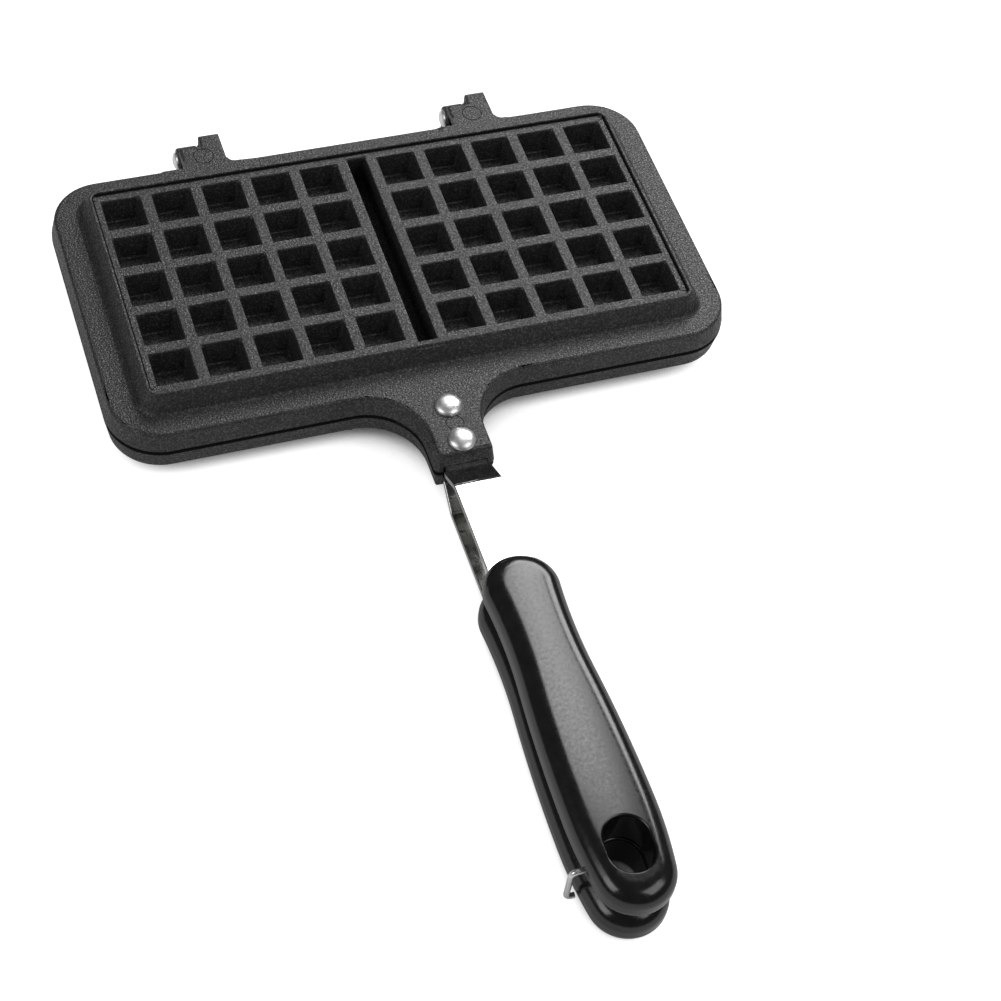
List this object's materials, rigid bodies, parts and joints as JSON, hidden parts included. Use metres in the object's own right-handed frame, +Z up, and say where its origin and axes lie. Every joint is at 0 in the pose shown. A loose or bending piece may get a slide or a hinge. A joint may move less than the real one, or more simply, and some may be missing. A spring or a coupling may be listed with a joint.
{
  "type": "stovetop waffle pan",
  "caption": "Hinged cast waffle iron for a hob, with raised oblong moulds, a riveted strap and moulded grip on each half, and a wire hoop that holds the grips together.",
  "frame": {"origin": "middle of the closed pan's underside, on the plane that it rests on, with the grips left out of the middle", "axes": "+Y from the middle towards the hinge, so the grips run towards -Y; +Z up through the closed pan; +X to the right seen from the grip end"},
  "size_m": [0.229, 0.3486, 0.0324],
  "materials": {
    "coated_casting": "matt dark grey non-stick coating with a fine speckle",
    "strap_steel": "mirror polished",
    "grip_plastic": "polished black phenolic",
    "rivet_metal": "bright",
    "hoop_wire": "bright drawn wire"
  },
  "bodies": {
    "lower_half": {"lower_plate": "coated_casting", "lower_strap": "strap_steel", "lower_grip": "grip_plastic", "lower_front_rivet": "rivet_metal", "lower_rear_rivet": "rivet_metal", "left_hinge_pin": "rivet_metal", "right_hinge_pin": "rivet_metal"},
    "upper_half": {"upper_plate": "coated_casting", "upper_strap": "strap_steel", "upper_grip": "grip_plastic", "upper_front_rivet": "rivet_metal", "upper_rear_rivet": "rivet_metal"},
    "hoop": {"locking_hoop": "hoop_wire"}
  },
  "joints": [
    {"name": "lid_hinge", "type": "hinge", "parent": "lower_half", "child": "upper_half", "pos_m": [0, 0.073, 0.0162], "axis": [-1, 0, 0], "range_deg": [0, 160]},
    {"name": "hoop_swing", "type": "hinge", "parent": "upper_half", "child": "hoop", "pos_m": [-0.0145, -0.2515, 0.0212], "axis": [-1, 0, 0], "range_deg": [0, 175]}
  ]
}
